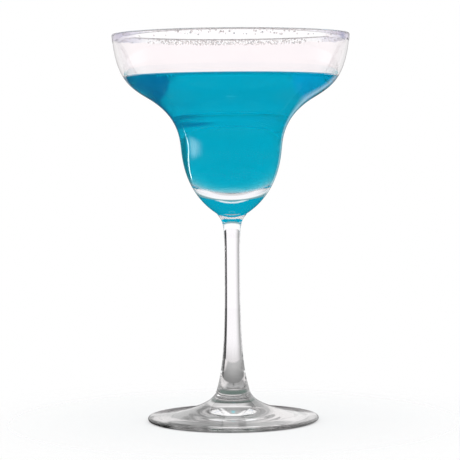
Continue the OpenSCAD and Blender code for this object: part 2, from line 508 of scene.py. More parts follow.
def juice_material():
    """Clear juice with a painted pale lilac reflection at the left and right of the rim."""
    material, graph, shader = see_through("rim_juice", JUICE_IOR)
    across = graph.math("ABSOLUTE", graph.axes(graph.place())["X"])
    ragged = graph.math("MULTIPLY_ADD", graph.mottle(JUICE_STREAKS), JUICE_RAGGED, across)
    # Painted reflection: pale lilac toward the left and right of the rim
    reflection_sides = graph.smooth(ragged, *JUICE_REFLECTION_SIDES)
    graph.put(shader.inputs["Base Color"], graph.tint(reflection_sides, JUICE_CLEAR, JUICE_REFLECTED_LILAC))
    return material


juice = juice_material()

SALT_IOR = 1.54
SALT_PALE = (0.88, 0.84, 0.83, 1)
SALT_GREY = (0.66, 0.6, 0.59, 1)
SALT_DRIFT = 700
salt = glass_material("salt_crystal", SALT_IOR, SALT_PALE, SALT_GREY, SALT_DRIFT)


# Glass pieces

def make_foot():
    """Pressed foot with a round edge, a low cone and a hollow underside."""
    edge_r = FOOT_EDGE_H / 2
    edge = Vector((FOOT_R - edge_r, FOOT_EDGE_H))
    hollow_r = edge.x - FOOT_REST_W
    joint = Vector((FOOT_JOINT_R, FOOT_JOINT_Z))
    top = curve(span(joint, -FOOT_FLARE_SLOPE, edge, -FOOT_EDGE_SLOPE, FOOT_REACH))
    rim = [
        Vector((edge.x, edge_r)) + heading(90 - 180 * i / LIP_STEPS) * edge_r
        for i in range(LIP_STEPS + 1)
    ]
    hollow = [
        Vector((hollow_r * share, FOOT_HOLLOW_H * (1 - share * share)))
        for share in (i / CURVE_STEPS for i in range(CURVE_STEPS, -1, -1))
    ]
    seam = [joint, Vector((0, FOOT_JOINT_Z))]
    mesh = turned("foot_glass", [(hollow[::-1], 0), (rim[::-1], 2), (top[::-1], 0), (seam, 1)])
    return finish_piece("foot_glass", mesh, [clear, joined, edge_painted_reflections], "glass", ["foot"])


def make_stem():
    """Solid stem, flared at both ends."""
    length = BOWL_JOINT_Z - FOOT_JOINT_Z
    low_z, high_z = (FOOT_JOINT_Z + share * length for share in STEM_WAIST_SHARES)
    foot_joint = Vector((FOOT_JOINT_R, FOOT_JOINT_Z))
    base = curve(span(foot_joint, 90 + STEM_BASE_LEAN, (STEM_R, low_z), 90, STEM_BASE_REACH))
    top = curve(span((STEM_R, high_z), 90, bowl_joint, 90 - STEM_TOP_LEAN, STEM_TOP_REACH))
    base[0] = foot_joint + Vector((0, SEAM_GAP))
    top[-1] = bowl_joint - Vector((0, SEAM_GAP))
    runs = [
        ([Vector((0, base[0].y)), base[0]], 1),
        (base + top, 0),
        ([top[-1], Vector((0, top[-1].y))], 1),
    ]
    mesh = turned("stem_glass", runs)
    return finish_piece("stem_glass", mesh, [clear, joined], "glass", ["stem"])


def make_bowl():
    """Blown bowl with a wet inside up to the drink's edge."""
    inside = inner_wall(0)
    contact_z = DRINK_Z + MENISCUS_H
    runs = [
        ([Vector((0, BOWL_JOINT_Z)), bowl_joint], 2),
        (outer_wall(0), 0),
        (lip(0), 3),
        (above(inside, contact_z)[::-1], 0),
        (below(inside, contact_z)[::-1], 1),
    ]
    mesh = turned("bowl_glass", runs)
    materials = [clear, wet, joined, lip_painted_outline]
    return finish_piece("bowl_glass", mesh, materials, "glass", ["bowl"])


def make_drink():
    """Drink that fills the well, with its edge drawn up the wall."""
    wall = inner_wall(DRINK_SEAT)
    contact_z = DRINK_Z + MENISCUS_H
    wall_r = radius_at(wall, DRINK_Z)
    contact = Vector((radius_at(wall, contact_z), contact_z))
    corner = Vector((wall_r, DRINK_Z))
    flat = Vector((wall_r - MENISCUS_W, DRINK_Z))
    edge = []
    for i in range(LIP_STEPS + 1):
        t = i / LIP_STEPS
        edge.append((1 - t) ** 2 * contact + 2 * t * (1 - t) * corner + t * t * flat)
    runs = [
        (below(wall, contact_z), 1),
        (edge + [Vector((0, DRINK_Z))], 0),
    ]
    mesh = turned("drink_liquid", runs)
    return finish_piece("drink_liquid", mesh, [drink_top, drink_side], "drink", ["drink"])


# Bubbles at the surface of the drink

BUBBLE_SHELL = 0.06 * MM
BUBBLE_DENT = 0.02 * MM
BUBBLE_WALL_GAP = 3 * BUBBLE_DENT
BUBBLE_SINK = 0.1 * MM
BUBBLE_DETAIL = 3
# Direction in degrees seen from above, and radius
BUBBLES = ((227, 0.5 * MM), (229.2, 0.35 * MM), (234, 0.75 * MM), (236.6, 0.6 * MM), (238.8, 0.4 * MM))


def bubble_place(direction, radius):
    """Middle of a bubble that clings to the wall in the curved edge of the drink."""
    z = DRINK_Z - BUBBLE_SINK
    reach = radius_at(inner_wall(0), z - radius / 2) - radius - BUBBLE_WALL_GAP
    angle = math.radians(direction)
    return Vector((reach * math.cos(angle), reach * math.sin(angle), z))


def ball_mesh(name, balls):
    """Mesh of several balls, each a middle, a radius and whether it faces inward."""
    bm = bmesh.new()
    for centre, radius, inward in balls:
        place = Matrix.Translation(centre)
        ball = bmesh.ops.create_icosphere(bm, subdivisions=BUBBLE_DETAIL, radius=radius, matrix=place)
        if inward:
            faces = {face for vert in ball["verts"] for face in vert.link_faces}
            bmesh.ops.reverse_faces(bm, faces=list(faces))
    mesh = bpy.data.meshes.new(name)
    bm.to_mesh(mesh)
    bm.free()
    mesh.polygons.foreach_set("use_smooth", [True] * len(mesh.polygons))
    return mesh


def make_bubbles():
    """Hollow bubbles of a thin film."""
    balls = []
    for direction, radius in BUBBLES:
        centre = bubble_place(direction, radius)
        balls.append((centre, radius, False))
        balls.append((centre, radius - BUBBLE_SHELL, True))
    mesh = ball_mesh("bubble_films", balls)
    return finish_piece("bubble_films", mesh, [bubble_film], "drink", ["bubbles"])


def dent_drink(drink):
    """Cuts the room of the bubbles out of the drink."""
    balls = [(bubble_place(*bubble), bubble[1] + BUBBLE_DENT, False) for bubble in BUBBLES]
    cutter_mesh = ball_mesh("bubble_room", balls)
    cutter_mesh.materials.append(drink_top)
    cutter = bpy.data.objects.new("bubble_room", cutter_mesh)
    bpy.context.scene.collection.objects.link(cutter)
    cut = drink.modifiers.new("bubble_room", "BOOLEAN")
    cut.object = cutter
    cut.solver = "EXACT"
    dented = drink.evaluated_get(bpy.context.evaluated_depsgraph_get())
    mesh = bpy.data.meshes.new_from_object(dented)
    mesh.set_sharp_from_angle(angle=CREASE_ANGLE)
    drink.modifiers.remove(cut)
    drink.data = mesh
    bpy.data.objects.remove(cutter)
    bpy.data.meshes.remove(cutter_mesh)


# Juice on the rim

FILM_T = 0.1 * MM
FILM_SEAT = 0.02 * MM
FILM_SIDE_STEPS = 8
FILM_DEPTH = 2.2 * MM
FILM_SIDE_DEPTH = 1.4 * MM
FILM_SIDE_POWER = 4
FILM_WAVE = 0.9 * MM
FILM_WAVES = 9
FILM_EDGE_SHARES = (0.1, 0.75)
FILM_CREASE = math.radians(60)
OUTSIDE, INSIDE = 1, -1


def film_depth(angle, side):
    """How far the film runs down the rim: deeper at the left and right, with a wavy edge."""
    round_trip = Vector((math.cos(angle), math.sin(angle), side / FILM_WAVES)) * FILM_WAVES
    wave = noise.noise(round_trip)
    return FILM_DEPTH + FILM_SIDE_DEPTH * math.cos(angle) ** FILM_SIDE_POWER + FILM_WAVE * wave


def film_run(walls, angle):
    """Points over the rim from the film's lower edge outside to its lower edge inside."""
    outside, inside, lip_run = walls
    points = []
    for wall, side in ((outside, OUTSIDE), (inside, INSIDE)):
        low, high = RIM_Z - film_depth(angle, side), wall[-1].y
        run = [low + (high - low) * i / FILM_SIDE_STEPS for i in range(FILM_SIDE_STEPS)]
        run = [Vector((radius_at(wall, z), z)) for z in run]
        points += run if side == OUTSIDE else run[::-1]
        if side == OUTSIDE:
            points += lip_run
    return points


def film_walls(grow):
    """Outside, inside and lip of the bowl, moved outward from the glass."""
    return outer_wall(grow), inner_wall(grow), lip(grow)


def make_film():
    """Closed film over the rim, thin at its wavy lower edges."""
    glass_walls, air_walls = film_walls(FILM_SEAT), film_walls(FILM_SEAT + FILM_T)
    bm = bmesh.new()
    loops = []
    for k in range(TURN_STEPS):
        angle = 2 * math.pi * k / TURN_STEPS
        glass, air = film_run(glass_walls, angle), film_run(air_walls, angle)
        for i, share in enumerate(FILM_EDGE_SHARES):
            air[i] = glass[i].lerp(air[i], share)
            air[-1 - i] = glass[-1 - i].lerp(air[-1 - i], share)
        loop = []
        for point in air + glass[::-1]:
            place = (point.x * math.cos(angle), point.x * math.sin(angle), point.y)
            loop.append(bm.verts.new(place))
        loops.append(loop)
    for k, loop in enumerate(loops):
        after = loops[(k + 1) % TURN_STEPS]
        for i in range(len(loop)):
            bm.faces.new((loop[i - 1], after[i - 1], after[i], loop[i])).smooth = True
    mesh = bpy.data.meshes.new("rim_juice")
    bm.to_mesh(mesh)
    bm.free()
    mesh.set_sharp_from_angle(angle=FILM_CREASE)
    return finish_piece("rim_juice", mesh, [juice], "glass", ["juice_film"])


# Salt on the rim

CRYSTAL_SHAPES = 10
CRYSTAL_SKEW = 0.13
CRYSTAL_BEVEL = 0.09
CRYSTAL_EDGES = (0.3 * MM, 0.75 * MM)
CRYSTAL_LIFT = 0.01 * MM
# Least distance between two crystals, as a share of their edges together
CRYSTAL_CROWD = 0.6
SALT_TOP = 0.75 * MM
SALT_BAND = 2.2 * MM
OUTSIDE_SEED = 17
INSIDE_SEED = 42
# Drifts of salt round the rim: direction seen from above, half spread, and crystals to try
OUTSIDE_DRIFTS = ((100, 20, 190), (72, 24, 90), (124, 14, 36), (285, 50, 30))
INSIDE_DRIFTS = ((98, 20, 190), (66, 22, 90), (128, 14, 30), (20, 14, 26), (162, 10, 8), (265, 45, 30))


def crystal_shapes(draw):
    """A few salt crystals: cubes with skewed corners and worn edges, as points and faces."""
    shapes = []
    for _ in range(CRYSTAL_SHAPES):
        bm = bmesh.new()
        bmesh.ops.create_cube(bm, size=1)
        for vert in bm.verts:
            vert.co += Vector([draw.uniform(-CRYSTAL_SKEW, CRYSTAL_SKEW) for _ in range(3)])
        bmesh.ops.bevel(bm, geom=bm.edges[:], offset=CRYSTAL_BEVEL, segments=1, affect="EDGES")
        bmesh.ops.triangulate(bm, faces=bm.faces[:])
        bm.verts.index_update()
        shapes.append(([v.co.copy() for v in bm.verts], [[v.index for v in f.verts] for f in bm.faces]))
        bm.free()
    return shapes


def make_salt(name, node, side, drifts, seed):
    """Crystals that sit on the film, crowded in drifts."""
    draw = random.Random(seed)
    shapes = crystal_shapes(draw)
    wall = outer_wall(FILM_SEAT + FILM_T) if side == OUTSIDE else inner_wall(FILM_SEAT + FILM_T)
    lean = math.radians(RIM_LEAN)
    verts, faces, seats = [], [], []
    for direction, spread, count in drifts:
        for _ in range(count):
            angle = math.radians(draw.gauss(direction, spread / 2))
            z = RIM_Z - SALT_TOP - SALT_BAND * draw.random()
            edge = draw.uniform(*CRYSTAL_EDGES)
            spin = draw.uniform(0, 2 * math.pi)
            turn = Matrix.Rotation(spin, 3, Vector([draw.gauss(0, 1) for _ in range(3)]))
            points, triangles = shapes[draw.randrange(CRYSTAL_SHAPES)]
            around = Vector((math.cos(angle), math.sin(angle), 0))
            seat = around * radius_at(wall, z) + Vector((0, 0, z))
            if any((seat - other).length < (edge + size) * CRYSTAL_CROWD for other, size in seats):
                continue
            seats.append((seat, edge))
            out = side * (around * math.cos(lean) - Vector((0, 0, math.sin(lean))))
            points = [turn @ p * edge for p in points]
            lift = CRYSTAL_LIFT - min(p.dot(out) for p in points)
            faces += [[len(verts) + i for i in triangle] for triangle in triangles]
            verts += [p + seat + out * lift for p in points]
    mesh = bpy.data.meshes.new(name)
    mesh.from_pydata(verts, [], faces)
    mesh.update()
    return finish_piece(name, mesh, [salt], "glass", [node])


make_foot()
make_stem()
make_bowl()
dent_drink(make_drink())
make_bubbles()
make_film()
make_salt("salt_grains_outside", "salt_outside", OUTSIDE, OUTSIDE_DRIFTS, OUTSIDE_SEED)
make_salt("salt_grains_inside", "salt_inside", INSIDE, INSIDE_DRIFTS, INSIDE_SEED)


# Camera

# In pixels: the width of the frame, the focal length, how far the eye level lies above the middle of
# the frame, and how far the axis of the glass lies beside it
FRAME_PX = 460
FOCAL_PX = 1944
EYE_LEVEL_PX = 93
AXIS_PX = 2.0
CAMERA_DISTANCE = 0.9375
EYE_HEIGHT = 0.13695
CAMERA_ROLL = math.radians(-0.43)
SENSOR_W = 36
CLIP_END = 20


def make_camera():
    """Camera at the eye level and distance of the photograph."""
    data = bpy.data.cameras.new("camera")
    data.lens = SENSOR_W * FOCAL_PX / FRAME_PX
    data.sensor_width = SENSOR_W
    data.clip_end = CLIP_END
    camera = bpy.data.objects.new("camera", data)
    pitch = math.atan2(EYE_LEVEL_PX, FOCAL_PX)
    yaw = math.atan2(AXIS_PX, FOCAL_PX)
    turn = (
        Matrix.Rotation(yaw, 4, "Z")
        @ Matrix.Rotation(math.pi / 2 - pitch, 4, "X")
        @ Matrix.Rotation(CAMERA_ROLL, 4, "Z")
    )
    camera.matrix_world = Matrix.Translation((0, -CAMERA_DISTANCE, EYE_HEIGHT)) @ turn
    bpy.context.scene.collection.objects.link(camera)
    bpy.context.scene.camera = camera


make_camera()


# Stage

# What the glass shows and mirrors is the studio round it. Its tones depend on where a look that
# leaves the glass is heading, on how many faces it has passed and on whether it bounced inside.
# Three numbers for a tone are a band: low, high and the width of its soft ends. Two are a ramp, and
# four are a ramp with the shares at its ends. Azimuths and elevations are in degrees, and X, Y and
# heights are in metres on a card, or parts of a unit direction in the room.
# A card or wall is its radius and the heights of its ends.

# Limits on the faces that a look passes: in one piece of glass, in two walls or pieces, and in one
# pass through the drink
ONE_PIECE = 3.5
TWO_PIECES = 4.5
ONE_PASS = 8.5
CUP_CROSSINGS = (ONE_PIECE, TWO_PIECES, 0.1)

# Tones that more than one part of the stage has
BLACK = (0, 0, 0, 1)
BACKDROP = (1.12, 1.12, 1.12, 1)
DARK_ROOM = (0.01, 0.01, 0.01, 1)
CARD_DARK = (0.03, 0.03, 0.03, 1)
INNER_GREY = (0.4, 0.4, 0.4, 1)
FOOT_GREY = (0.3, 0.3, 0.3, 1)
FOOT_DEEP = (0.8, 0.77, 0.77, 1)

# Looks that bounce many times in the foot come out pale at the left and grey at the right
DEEP_BOUNCES = (4, 9)
DEEP_AZIMUTHS = (10, 35)
DEEP_TABLE_X = (0, 10 * MM)


class Look:
    """What is known of a look that meets the stage: its place or direction, and its way so far."""

    def __init__(self, graph, place):
        self.x, self.y, self.z = graph.axes(place)
        self.azimuth = graph.azimuth(self.x, self.y)
        self.rays = graph.rays()
        self.crossings = self.rays["Transmission Depth"]
        self.bounces = self.rays["Glossy Depth"]
        self.bounced = graph.over(self.bounces, BOUNCED)


def deep_tone(graph, look, colour, rightward):
    """Colour, or for looks that have bounced many times a tone that depends on their side."""
    deep = graph.tint(rightward, FOOT_DEEP, FOOT_GREY)
    return graph.tint(graph.smooth(look.bounces, *DEEP_BOUNCES), colour, deep)


# Studio, as looks through the drink see it

# Left and right are where a tone shows in the drink, which swaps the sides of the room
UPPER_ROOM = (1.4, 1.4, 1.4, 1)
UPPER_ELEVATIONS = (22, 36)
BLUE_SHADE = (0.3, 0.44, 0.68, 1)
LEVEL_ELEVATIONS = (-32, 14, 4)
LEFT_AZIMUTHS = (58, 92, 4)
CORNER_AZIMUTHS = (31, 47, 5)
WAIST_SHARE = 0.75
WAIST_ELEVATIONS = (8, 64, 6)
WAIST_RISE = (14, 34)
WAIST_FALL = (60, 78)
EDGE_SHADE = (0.45, 0.5, 0.48, 1)
EDGE_ELEVATIONS = (-4, 24, 5)
EDGE_RISE = (36, 44)
EDGE_FALL = (60, 70)
BLUE_GLOW = (1, 1.05, 1.3, 1)
RIGHT_AZIMUTHS = (-92, -58, 4)
CUP_PALE = (1.11, 1.04, 1.06, 1)


def room_through_drink(graph, look, elevation):
    """Backdrop with shades and a glow for looks through the drink, and a pale tone for the cup."""
    direct = graph.under(look.bounces, BOUNCED)
    through = graph.over(look.crossings, TWO_PIECES)
    long_way = graph.over(look.crossings, ONE_PASS)
    level = graph.window(elevation, *LEVEL_ELEVATIONS)

    left = graph.product(long_way, level, graph.window(look.azimuth, *LEFT_AZIMUTHS))
    corner = graph.product(through, look.bounced, level, graph.window(look.azimuth, *CORNER_AZIMUTHS))
    waist_side = graph.product(graph.smooth(look.azimuth, *WAIST_RISE), graph.fall(look.azimuth, *WAIST_FALL))
    waist_height = graph.product(graph.window(elevation, *WAIST_ELEVATIONS), WAIST_SHARE)
    waist_shade = graph.product(through, look.bounced, waist_height, waist_side)
    blue = graph.largest(left, corner, waist_shade)
    upward = graph.product(long_way, look.bounced, graph.smooth(elevation, *UPPER_ELEVATIONS))
    seen = graph.tint(blue, graph.tint(upward, BACKDROP, UPPER_ROOM), BLUE_SHADE)

    above_drink = graph.product(direct, graph.window(look.crossings, *CUP_CROSSINGS))
    seen = graph.tint(above_drink, seen, CUP_PALE)
    edge_side = graph.product(graph.smooth(look.azimuth, *EDGE_RISE), graph.fall(look.azimuth, *EDGE_FALL))
    edge = graph.product(through, direct, graph.window(elevation, *EDGE_ELEVATIONS), edge_side)
    seen = graph.tint(edge, seen, EDGE_SHADE)
    right = graph.product(long_way, level, graph.window(look.azimuth, *RIGHT_AZIMUTHS))
    return graph.tint(right, seen, BLUE_GLOW)


# Studio, as looks that bounce inside the stem and the foot see it
INNER_PALE = (1, 0.99, 0.99, 1)
INNER_Y = (0.7, 0.9)
STEM_Y = (0.15, 0.3)
STEM_AZIMUTHS = (25, 40)
STEM_ELEVATIONS = (25, 40)
DRINK_GLIMPSE = (0.2, 0.62, 0.68, 1)
GLIMPSE_ELEVATIONS = (55, 67, 2)
GLIMPSE_AZIMUTHS = (-7, 8, 3)


def room_inside_glass(graph, look, elevation, seen):
    """Greys for looks that bounce in clear glass, with a painted glimpse of the drink down the stem."""
    inner_tone = graph.tint(graph.smooth(look.y, *INNER_Y), INNER_GREY, INNER_PALE)
    inner_tone = deep_tone(graph, look, inner_tone, graph.smooth(look.azimuth, *DEEP_AZIMUTHS))
    glass_only = graph.under(look.crossings, ONE_PIECE)
    seen = graph.tint(graph.product(glass_only, look.bounced), seen, inner_tone)

    few_faces = graph.under(look.crossings, TWO_PIECES)
    stem_side = graph.product(graph.smooth(look.y, *STEM_Y), graph.fall(look.azimuth, *STEM_AZIMUTHS))
    stem_way = graph.product(look.bounced, few_faces, stem_side)
    seen = graph.tint(graph.product(stem_way, graph.smooth(elevation, *STEM_ELEVATIONS)), seen, INNER_GREY)
    # Painted image of the drink, seen down the stem
    glimpse = graph.window(elevation, *GLIMPSE_ELEVATIONS)
    glimpse = graph.product(glimpse, graph.window(look.azimuth, *GLIMPSE_AZIMUTHS))
    return graph.tint(graph.product(stem_way, glimpse), seen, DRINK_GLIMPSE)


# Studio, as the outside of the glass mirrors it
BEHIND_Y = (0.1, 0.5)
BEHIND_ELEVATIONS = (-6, 3)
RIGHT_BOX_Y = (0.8, 0.95)
RIGHT_BOX_X = (-0.05, 0.05)
OUTLINE_GREY = (0.1, 0.095, 0.1, 1)
OUTLINE_Y = (0.91, 0.97)
OUTLINE_ELEVATIONS = (3, 7)
SKY_GREY = (0.3, 0.3, 0.3, 1)
SKY_AZIMUTHS = (-4, 1, 1.5)
SKY_ELEVATIONS = (6, 10)


def mirrored_room(graph, look, elevation):
    """Dark room that is white behind the glass, with greys for the outlines and the top of the foot."""
    behind = graph.product(graph.smooth(look.y, *BEHIND_Y), graph.smooth(elevation, *BEHIND_ELEVATIONS))
    right_box = graph.product(graph.smooth(look.y, *RIGHT_BOX_Y), graph.smooth(look.x, *RIGHT_BOX_X))
    mirrored = graph.tint(graph.largest(behind, right_box), DARK_ROOM, WHITE)
    outline = graph.product(graph.smooth(look.y, *OUTLINE_Y), graph.fall(elevation, *OUTLINE_ELEVATIONS))
    mirrored = graph.tint(outline, mirrored, OUTLINE_GREY)
    over_foot = graph.window(look.azimuth, *SKY_AZIMUTHS)
    over_foot = graph.product(over_foot, graph.smooth(elevation, *SKY_ELEVATIONS))
    return graph.tint(over_foot, mirrored, SKY_GREY)


def make_world():
    """Studio round the glass: what shows through it and what it mirrors. The rest of it is white."""
    world = bpy.data.worlds.new("studio")
    bpy.context.scene.world = world
    graph = Graph(world)
    look = Look(graph, graph.add("ShaderNodeTexCoord").outputs["Generated"])
    elevation = graph.math("DEGREES", graph.math("ARCSINE", look.z))
    seen = room_inside_glass(graph, look, elevation, room_through_drink(graph, look, elevation))
    mirrored = mirrored_room(graph, look, elevation)
    colour = graph.tint(look.rays["Is Transmission Ray"], mirrored, seen)
    colour = graph.tint(look.rays["Is Glossy Ray"], WHITE, colour)
    colour = graph.tint(look.rays["Is Camera Ray"], colour, WHITE)
    graph.put(graph.nodes["Background"].inputs["Color"], colour)


# Stage helpers

STAGE_STEPS = 96


def stage_ring(radius, z):
    """Points of a level ring about the axis of the glass."""
    turns = [2 * math.pi * k / STAGE_STEPS for k in range(STAGE_STEPS)]
    return [(radius * math.cos(a), radius * math.sin(a), z) for a in turns]


def stage_disc(radius, z):
    """Points and faces of a level disc."""
    return stage_ring(radius, z), [list(range(STAGE_STEPS))]


def stage_band(inner, outer):
    """Points and faces of a band between two rings."""
    n = STAGE_STEPS
    return inner + outer, [(k, (k + 1) % n, n + (k + 1) % n, n + k) for k in range(n)]


def stage_wall(radius, low, high):
    """Points and faces of an upright round wall about the axis of the glass."""
    return stage_band(stage_ring(radius, low), stage_ring(radius, high))


def stage_piece(name, form, material):
    """Part of the stage, from its points and faces."""
    mesh = bpy.data.meshes.new(name)
    mesh.from_pydata(form[0], [], form[1])
    mesh.materials.append(material)
    obj = bpy.data.objects.new(name, mesh)
    bpy.context.scene.collection.objects.link(obj)
    return obj


def glowing_card(name, form):
    """Card that shows its own colour under any light and casts no shadow."""
    material, graph, shader = principled(name, Base_Color=BLACK, Roughness=1.0, Emission_Strength=1.0)
    card = stage_piece(name, form, material)
    card.visible_camera = False
    card.visible_diffuse = False
    card.visible_shadow = False
    return card, graph, shader


def refracted_card(name, form):
    """Card that only shows through glass."""
    card, graph, shader = glowing_card(name, form)
    card.visible_glossy = False
    return graph, shader, Look(graph, graph.place())


def mirrored_card(name, form):
    """Card that only shows in mirror images."""
    card, graph, shader = glowing_card(name, form)
    card.visible_transmission = False
    return graph, shader, Look(graph, graph.place())


def paint(graph, shader, colour, cover):
    """Gives a card its colour, and shows it as far as it is covered."""
    graph.put(shader.inputs["Emission Color"], colour)
    graph.put(shader.inputs["Alpha"], cover)


# Floor

FLOOR_STAGE_R = 0.8
FLOOR_DROP = 0.05 * MM
FLOOR_WHITE = (0.99, 0.99, 0.99, 1)
FLOOR_FADE = (0.045, 0.16, 0.6, 0.0)
CONTACT_SHADOW_GREY = (0.25, 0.25, 0.25, 1)
CONTACT_SHADOW_SHIFT = 3 * MM


def make_floor():
    """White floor that fades into the studio's white, with a painted contact shadow under and just before the
    foot.
    """
    material, graph, shader = principled("floor", Roughness=1.0, Specular_IOR_Level=0.0)
    inputs = {0: graph.place(), 1: (0, CONTACT_SHADOW_SHIFT, 0)}
    ahead = graph.add("ShaderNodeVectorMath", inputs, operation="ADD").outputs[0]
    # Painted contact shadow: grey under the foot and just in front of it
    contact = graph.fall(graph.distance(ahead), FOOT_R - CONTACT_SHADOW_SHIFT, FOOT_R)
    fade = graph.smooth(graph.distance(graph.place()), *FLOOR_FADE)
    graph.put(shader.inputs["Base Color"], graph.tint(contact, FLOOR_WHITE, CONTACT_SHADOW_GREY))
    graph.put(shader.inputs["Alpha"], graph.largest(fade, contact))
    floor = stage_piece("floor", stage_disc(FLOOR_STAGE_R, -FLOOR_DROP), material)
    floor.visible_transmission = False
    floor.visible_glossy = False


# Table, as it shows through the foot and the stem, with the glass's painted shadow on it
TABLE_R = 0.125
TABLE_DROP = 0.08 * MM
TABLE_END = (109 * MM, 117 * MM)
TABLE_SHADOW = (0.22, 0.22, 0.22, 1)
TABLE_FAR = (0.5, 0.5, 0.5, 1)
TABLE_PALE = (0.85, 0.82, 0.82, 1)
TABLE_SHADOW_DARK = (0.25, 0.25, 0.25, 1)
FRONT_TURNS = (-62, 55, 6)
AWAY_DISTANCES = (41 * MM, 48 * MM)
AWAY_X = (30 * MM, 50 * MM)
BEHIND_STEM_X = (-20 * MM, 9 * MM, 3 * MM)
BEHIND_STEM_Y = (0, 5 * MM)
FAR_Y = (35 * MM, 110 * MM)
WEDGE_DISTANCES = (41 * MM, 45 * MM)
WEDGE_AZIMUTHS = (36, 64, 3)


def plain_table(graph, look, distance):
    """Pale table with a painted shadow: grey in front, far out and behind the stem, and a dark wedge behind
    right.
    """
    turn = graph.azimuth(look.x, graph.math("MULTIPLY", look.y, -1.0))
    front = graph.window(turn, *FRONT_TURNS)
    away = graph.product(graph.smooth(distance, *AWAY_DISTANCES), graph.fall(look.x, *AWAY_X))
    behind_stem = graph.product(graph.window(look.x, *BEHIND_STEM_X), graph.smooth(look.y, *BEHIND_STEM_Y))
    tone = graph.tint(graph.smooth(look.y, *FAR_Y), TABLE_SHADOW, TABLE_FAR)
    # Painted shadow of the glass on the table
    table = graph.tint(graph.largest(front, away, behind_stem), TABLE_PALE, tone)
    wedge = graph.smooth(distance, *WEDGE_DISTANCES)
    wedge = graph.product(wedge, graph.window(look.azimuth, *WEDGE_AZIMUTHS))
    return graph.tint(wedge, table, CARD_DARK)


# Table, as looks that bounce inside the foot see it
MIDDLE_X = (-4 * MM, 2 * MM, 2 * MM)
MIDDLE_Y = (2 * MM, 8 * MM)
RIGHT_BACK_X = (3 * MM, 8 * MM)
RIGHT_BACK_Y = (8 * MM, 14 * MM)
JOINT_GREEN = (0.14, 0.19, 0.17, 1)
JOINT_X = (-6 * MM, 6 * MM, 2 * MM)
JOINT_Y = (8 * MM, 20 * MM, 2 * MM)
SIDES_X = (20 * MM, 28 * MM)
DARK_FAR_Y = (28 * MM, 33 * MM)


def bounced_table(graph, look):
    """Painted shadow under the foot: dark, with a pale middle and sides and a green line at the stem's joint.
    """
    middle = graph.product(graph.window(look.x, *MIDDLE_X), graph.fall(look.y, *MIDDLE_Y))
    # Painted shadow under the foot, dark where the middle is not pale
    table = graph.tint(middle, TABLE_SHADOW_DARK, TABLE_PALE)
    right_back = graph.product(graph.smooth(look.x, *RIGHT_BACK_X), graph.smooth(look.y, *RIGHT_BACK_Y))
    table = graph.tint(right_back, table, CARD_DARK)
    joint = graph.product(graph.window(look.y, *JOINT_Y), graph.window(look.x, *JOINT_X))
    table = graph.tint(joint, table, JOINT_GREEN)
    sides = graph.smooth(graph.math("ABSOLUTE", look.x), *SIDES_X)
    table = graph.tint(sides, table, TABLE_PALE)
    table = deep_tone(graph, look, table, graph.smooth(look.x, *DEEP_TABLE_X))
    return graph.tint(graph.smooth(look.y, *DARK_FAR_Y), table, CARD_DARK)


def make_table_patch():
    """Disc under the glass that only looks through the foot and the stem see."""
    graph, shader, look = refracted_card("table_patch", stage_disc(TABLE_R, -TABLE_DROP))
    distance = graph.distance(graph.place())
    colour = graph.tint(look.bounced, plain_table(graph, look, distance), bounced_table(graph, look))
    few_faces = graph.under(look.crossings, TWO_PIECES)
    paint(graph, shader, colour, graph.product(graph.fall(distance, *TABLE_END), few_faces))


# Cards that show through the glass

STEM_CARD = (0.3, -0.2, 0.12)
STEM_CARD_DARK = (33, 64, 3)
STEM_CARD_FALL = (-46, -12)
STEM_CARD_RISE = (-58, -54)
STEM_CARD_HEIGHTS = (-55 * MM, -5 * MM)
STEM_PALE = (1.07, 1.045, 1.075, 1)
STEM_LOW = (0.75, 0.73, 0.74, 1)
CARD_GREY = (0.4, 0.4, 0.4, 1)


def make_stem_card():
    """Round card at the height of the stem, dark at the right and grey at the left."""
    graph, shader, look = refracted_card("stem_card", stage_wall(*STEM_CARD))
    pale = graph.tint(graph.smooth(look.z, *STEM_CARD_HEIGHTS), STEM_LOW, STEM_PALE)
    colour = graph.tint(graph.window(look.azimuth, *STEM_CARD_DARK), pale, CARD_DARK)
    grey = graph.fall(look.azimuth, *STEM_CARD_FALL)
    grey = graph.product(grey, graph.smooth(look.azimuth, *STEM_CARD_RISE))
    paint(graph, shader, graph.tint(grey, colour, CARD_GREY), graph.under(look.crossings, TWO_PIECES))


FLARE_CARD = (0.062, 0.106, 0.163)
FLARE_TEAL = (0.25, 0.42, 0.45, 1)
FLARE_HEIGHTS = (0.108, 0.124)
DEEP_TEAL = (0.004, 0.36, 0.43, 1)
DEEP_TEAL_HEIGHTS = (0.14, 0.148)


def make_flare_card():
    """Teal ring round the foot of the bowl: a painted reflection of the drink, which the thick glass there
    shows.
    """
    graph, shader, look = refracted_card("flare_card", stage_wall(*FLARE_CARD))
    # Painted reflection of the drink: teal over the flare's heights
    colour = graph.tint(graph.smooth(look.z, *FLARE_HEIGHTS), BACKDROP, FLARE_TEAL)
    colour = graph.tint(graph.smooth(look.z, *DEEP_TEAL_HEIGHTS), colour, DEEP_TEAL)
    paint(graph, shader, colour, graph.under(look.crossings, ONE_PIECE))


FOOT_CARD = (0.085, -1 * MM, 40 * MM)
FOOT_PALE = (0.75, 0.74, 0.74, 1)
FOOT_PALE_AZIMUTHS = (-12, 30, 4)
FOOT_PALE_HEIGHTS = (10 * MM, 14 * MM)
FOOT_DARK_AZIMUTHS = (38, 66, 3)


